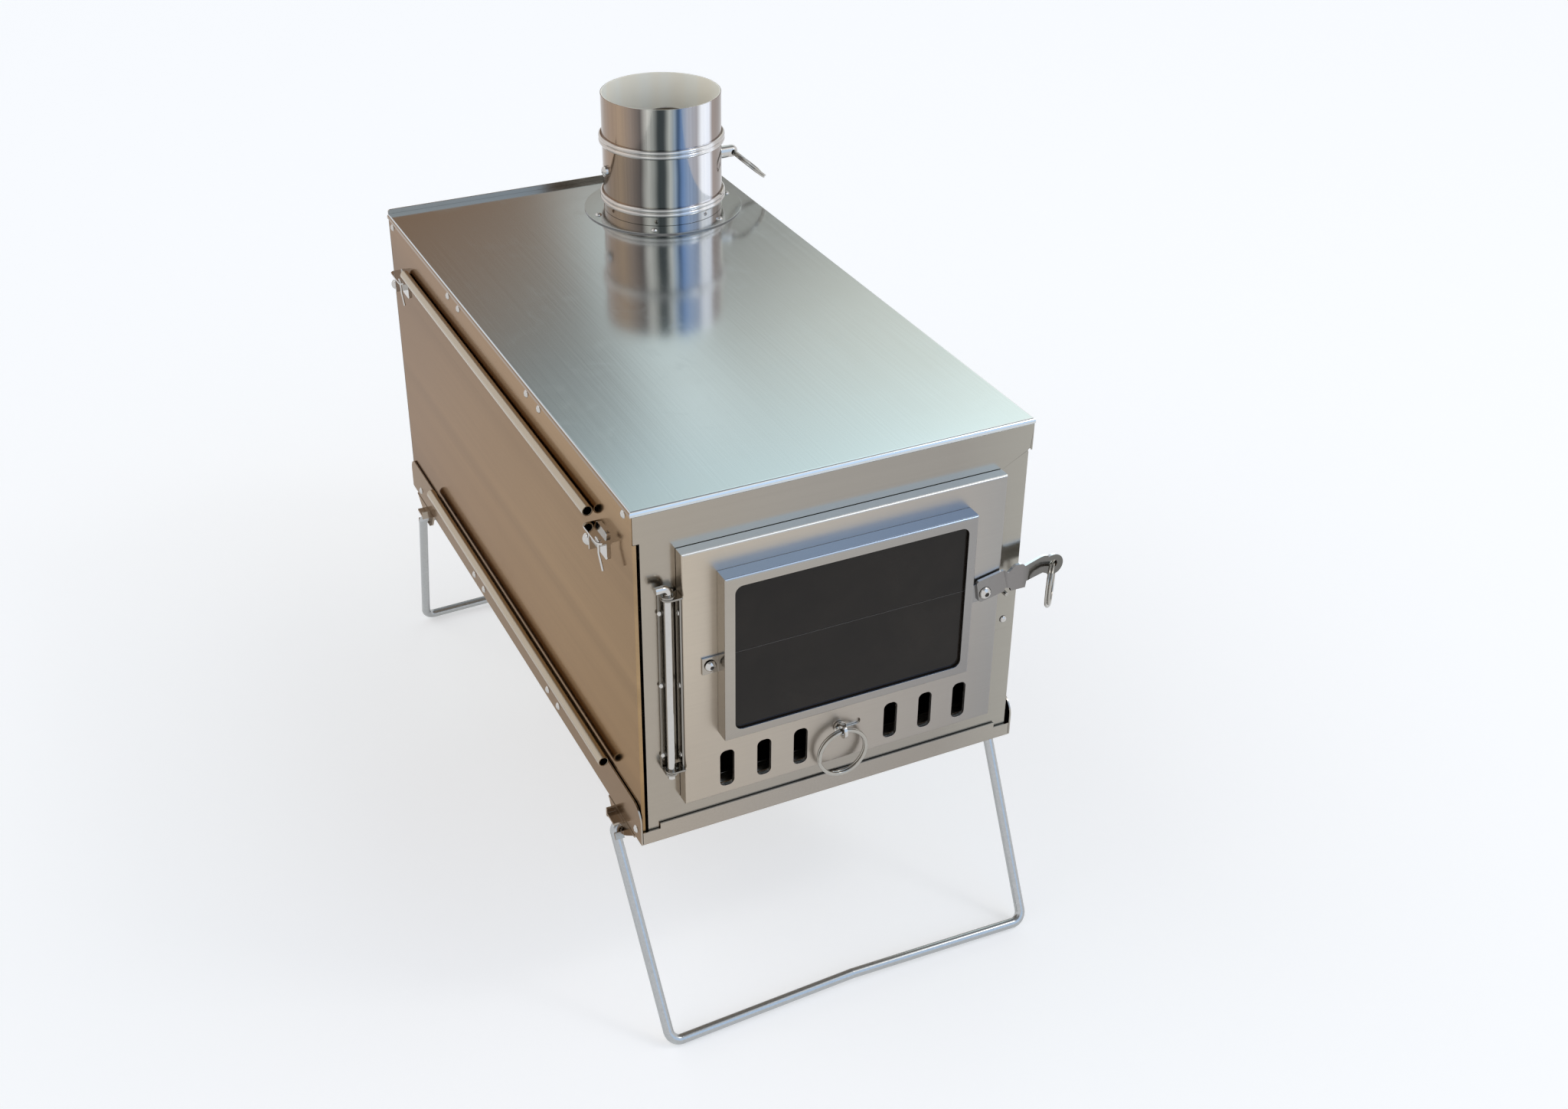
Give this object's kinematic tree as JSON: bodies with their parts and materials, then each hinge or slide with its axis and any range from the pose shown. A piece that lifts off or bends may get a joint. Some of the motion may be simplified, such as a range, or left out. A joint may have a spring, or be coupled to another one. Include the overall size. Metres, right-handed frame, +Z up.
{
  "type": "tent wood stove",
  "caption": "Folding sheet-steel tent stove with a glazed hinged door, air slider, latch, damper flue section, side rack tubes and folding wire legs.",
  "frame": {"origin": "on the ground under the middle of the whole outline", "axes": "+X to the right as seen from the door, +Y to the back, +Z up; the door faces -Y"},
  "size_m": [0.232, 0.4242, 0.3631],
  "materials": {
    "body_steel": "fine brushed stainless, satin",
    "side_steel": "fine brushed stainless, satin",
    "door_steel": "fine brushed stainless, satin",
    "fittings": "polished stainless",
    "wire": "drawn stainless wire",
    "flue_steel": "polished stainless",
    "inner_steel": "plain sheet",
    "glass": "polished",
    "gasket": "woven glass fibre"
  },
  "bodies": {
    "stove": {"top_panel": "body_steel", "front_panel": "body_steel", "left_side_panel": "side_steel", "right_side_panel": "side_steel", "back_panel": "body_steel", "bottom_tray": "body_steel", "left_hinge_strips": "inner_steel", "right_hinge_strips": "inner_steel", "left_rivets": "fittings", "right_rivets": "fittings", "fire_grate": "inner_steel", "flue_collar": "flue_steel", "collar_rivets": "fittings", "damper_section": "flue_steel", "upper_left_tube": "fittings", "lower_left_tube": "fittings", "upper_right_tube": "fittings", "lower_right_tube": "fittings", "left_rack_clips": "fittings", "right_rack_clips": "fittings", "left_clip_hooks": "fittings", "right_clip_hooks": "fittings", "body_hinge_leaf": "fittings", "hinge_pin": "fittings", "body_hinge_rivets": "fittings", "latch_catch": "fittings", "catch_rivet": "fittings", "front_left_bracket": "side_steel", "front_right_bracket": "side_steel", "rear_left_bracket": "side_steel", "rear_right_bracket": "side_steel", "bracket_rivets": "fittings"},
    "door": {"door_panel": "door_steel", "window_frame": "door_steel", "upper_glass": "glass", "lower_glass": "glass", "glass_gasket": "gasket", "glass_clamps": "inner_steel", "window_screw": "fittings", "slider_guides": "inner_steel", "door_hinge_leaf": "fittings", "door_hinge_rivets": "fittings", "latch_screw": "fittings"},
    "slider": {"air_slider": "door_steel", "slider_eye": "fittings"},
    "slider_ring": {"air_ring": "fittings"},
    "latch": {"latch_lever": "fittings"},
    "latch_pull": {"latch_ring": "fittings"},
    "damper": {"damper_shaft": "fittings", "damper_plate": "inner_steel", "damper_fasteners": "fittings"},
    "damper_pull": {"damper_ring": "fittings"},
    "front_legs": {"front_leg": "wire"},
    "rear_legs": {"rear_leg": "wire"}
  },
  "joints": [
    {"name": "door_swing", "type": "hinge", "parent": "stove", "child": "door", "pos_m": [-0.09521, -0.1845, 0.2003], "axis": [0, 0, 1], "range_deg": [-125, 0]},
    {"name": "air_slide", "type": "slide", "parent": "door", "child": "slider", "axis": [1, 0, 0], "range_m": [0, 0.00975]},
    {"name": "air_ring_swing", "type": "hinge", "parent": "slider", "child": "slider_ring", "pos_m": [-0.00751, -0.1907, 0.1509], "axis": [1, 0, 0], "range_deg": [-70, 0]},
    {"name": "latch_turn", "type": "hinge", "parent": "door", "child": "latch", "pos_m": [0.06929, -0.1875, 0.2083], "axis": [0, 1, 0], "range_deg": [0, 13]},
    {"name": "latch_ring_swing", "type": "hinge", "parent": "latch", "child": "latch_pull", "pos_m": [0.10775, -0.18815, 0.21474], "axis": [0.5878, 0.809, 0], "range_deg": [-25, 25]},
    {"name": "damper_turn", "type": "hinge", "parent": "stove", "child": "damper", "pos_m": [0.04329, 0.1445, 0.3203], "axis": [1, 0, 0], "range_deg": [-90, 90]},
    {"name": "damper_ring_swing", "type": "hinge", "parent": "damper", "child": "damper_pull", "pos_m": [0.08829, 0.1445, 0.3203], "axis": [0, 1, 0], "range_deg": [-30, 33]},
    {"name": "front_leg_fold", "type": "hinge", "parent": "stove", "child": "front_legs", "pos_m": [-0.00671, -0.1515, 0.0993], "axis": [1, 0, 0], "range_deg": [0, 117]},
    {"name": "rear_leg_fold", "type": "hinge", "parent": "stove", "child": "rear_legs", "pos_m": [-0.00671, 0.1735, 0.0993], "axis": [-1, 0, 0], "range_deg": [0, 107]}
  ]
}
